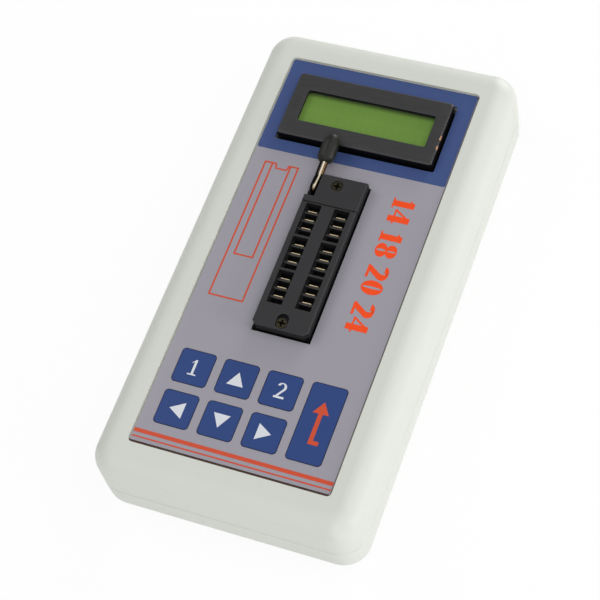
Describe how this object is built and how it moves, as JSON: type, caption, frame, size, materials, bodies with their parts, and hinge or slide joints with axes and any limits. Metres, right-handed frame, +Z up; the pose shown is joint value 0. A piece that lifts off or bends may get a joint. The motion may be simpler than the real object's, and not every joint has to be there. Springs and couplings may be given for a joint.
{
  "type": "chip tester",
  "caption": "Hand-held tester for dual-in-line chips: two-part plastic case, printed film front with keys, character display and a lever-operated zero-force socket.",
  "frame": {"origin": "middle of the case's underside, on the surface it lies on", "axes": "+Z up out of the film front, +Y along the case towards the display, +X to the right of a reader holding it"},
  "size_m": [0.07, 0.1366, 0.0306],
  "materials": {
    "case_plastic": "fine moulded texture",
    "film_print": "printed film, satin",
    "key_film": "printed film, satin",
    "black_plastic": "moulded",
    "bright_steel": "plated",
    "dark_steel": "blackened",
    "brass_screw": "plated, slightly dulled",
    "circuit_board": "solder mask",
    "can_aluminium": "drawn can",
    "gold_contact": "gold-plated",
    "bezel_paint": "satin black paint",
    "lcd_glass": "reflective green display",
    "soft_rubber": "soft moulded",
    "socket_plastic": "glass-filled moulding",
    "nickel_wire": "nickel-plated wire",
    "knob_plastic": "moulded",
    "cell_can": "sleeved can"
  },
  "bodies": {
    "case": {"battery_cells": "cell_can", "battery_contacts": "bright_steel", "board_screws": "bright_steel", "boost_coil": "black_plastic", "capacitors": "can_aluminium", "case_screws": "dark_steel", "crystal": "bright_steel", "driver_chips": "black_plastic", "front_film": "film_print", "header_pins": "gold_contact", "header_strip": "black_plastic", "lcd_bezel": "bezel_paint", "lcd_board": "circuit_board", "lcd_contact_strips": "soft_rubber", "lcd_glass": "lcd_glass", "lcd_screws": "bright_steel", "lower_shell": "case_plastic", "main_board": "circuit_board", "microcontroller": "black_plastic", "regulator": "black_plastic", "switch_housings": "black_plastic", "switch_plates": "bright_steel", "upper_shell": "case_plastic", "zif_base": "socket_plastic", "zif_contacts": "gold_contact", "zif_screws": "brass_screw"},
    "lever": {"zif_lever": "nickel_wire", "zif_lever_knob": "knob_plastic"},
    "socket_cover": {"zif_cover": "socket_plastic"},
    "door": {"battery_door": "case_plastic"},
    "one_key": {"key_one": "key_film", "plunger_one": "black_plastic"},
    "up_key": {"key_up": "key_film", "plunger_up": "black_plastic"},
    "two_key": {"key_two": "key_film", "plunger_two": "black_plastic"},
    "left_key": {"key_left": "key_film", "plunger_left": "black_plastic"},
    "down_key": {"key_down": "key_film", "plunger_down": "black_plastic"},
    "right_key": {"key_right": "key_film", "plunger_right": "black_plastic"},
    "enter_key": {"key_enter": "key_film", "plunger_enter": "black_plastic"}
  },
  "joints": [
    {"name": "lever_lift", "type": "hinge", "parent": "case", "child": "lever", "pos_m": [0, 0.0193, 0.0242], "axis": [1, 0, 0], "range_deg": [0, 90]},
    {"name": "socket_cover_slide", "type": "slide", "parent": "case", "child": "socket_cover", "axis": [0, -1, 0], "range_m": [0, 0.00099]},
    {"name": "door_lift_off", "type": "slide", "parent": "case", "child": "door", "axis": [0, 0, -1], "range_m": [0, 0.016]},
    {"name": "one_key_press", "type": "slide", "parent": "case", "child": "one_key", "axis": [0, 0, -1], "range_m": [0, 0.0003], "stiffness_N_per_m": 2000},
    {"name": "up_key_press", "type": "slide", "parent": "case", "child": "up_key", "axis": [0, 0, -1], "range_m": [0, 0.0003], "stiffness_N_per_m": 2000},
    {"name": "two_key_press", "type": "slide", "parent": "case", "child": "two_key", "axis": [0, 0, -1], "range_m": [0, 0.0003], "stiffness_N_per_m": 2000},
    {"name": "left_key_press", "type": "slide", "parent": "case", "child": "left_key", "axis": [0, 0, -1], "range_m": [0, 0.0003], "stiffness_N_per_m": 2000},
    {"name": "down_key_press", "type": "slide", "parent": "case", "child": "down_key", "axis": [0, 0, -1], "range_m": [0, 0.0003], "stiffness_N_per_m": 2000},
    {"name": "right_key_press", "type": "slide", "parent": "case", "child": "right_key", "axis": [0, 0, -1], "range_m": [0, 0.0003], "stiffness_N_per_m": 2000},
    {"name": "enter_key_press", "type": "slide", "parent": "case", "child": "enter_key", "axis": [0, 0, -1], "range_m": [0, 0.0003], "stiffness_N_per_m": 2000}
  ],
  "couplings": [
    {"joint": "lever_lift", "follows": "socket_cover_slide", "rad_per_m": 1586.7}
  ]
}
